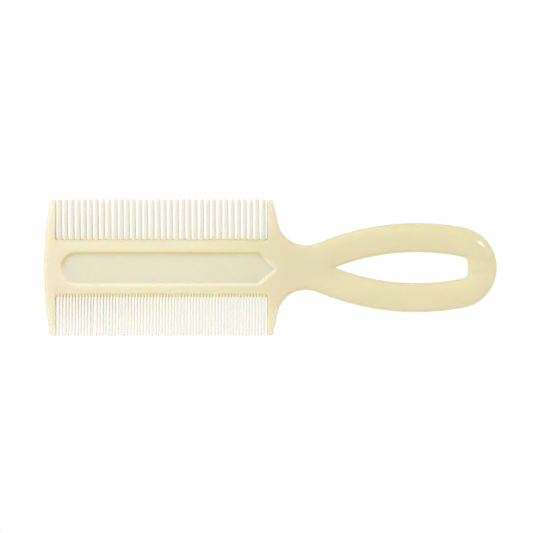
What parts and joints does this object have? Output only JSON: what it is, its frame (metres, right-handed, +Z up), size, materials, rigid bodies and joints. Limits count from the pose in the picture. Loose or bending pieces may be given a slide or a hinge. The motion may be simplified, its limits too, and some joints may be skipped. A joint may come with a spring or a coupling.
{
  "type": "flea comb",
  "caption": "Plastic grooming comb with a wide-toothed edge, a fine-toothed edge opposite, end guards, a recessed middle bar and a loop handle.",
  "frame": {"origin": "middle of the comb's length and width, on the surface it lies on", "axes": "+X along the comb from the head to the loop handle, +Y towards the coarse teeth, +Z up through the thickness"},
  "size_m": [0.178, 0.0538, 0.005],
  "materials": {
    "ivory_plastic": "satin moulded ivory, faintly translucent"
  },
  "bodies": {
    "root": {"spine_bar": "ivory_plastic", "front_guard": "ivory_plastic", "rear_guard": "ivory_plastic", "shoulder": "ivory_plastic", "neck": "ivory_plastic", "handle_arm_coarse_side": "ivory_plastic", "handle_arm_fine_side": "ivory_plastic", "handle_bow": "ivory_plastic", "coarse_teeth": "ivory_plastic", "fine_teeth": "ivory_plastic"}
  },
  "joints": []
}
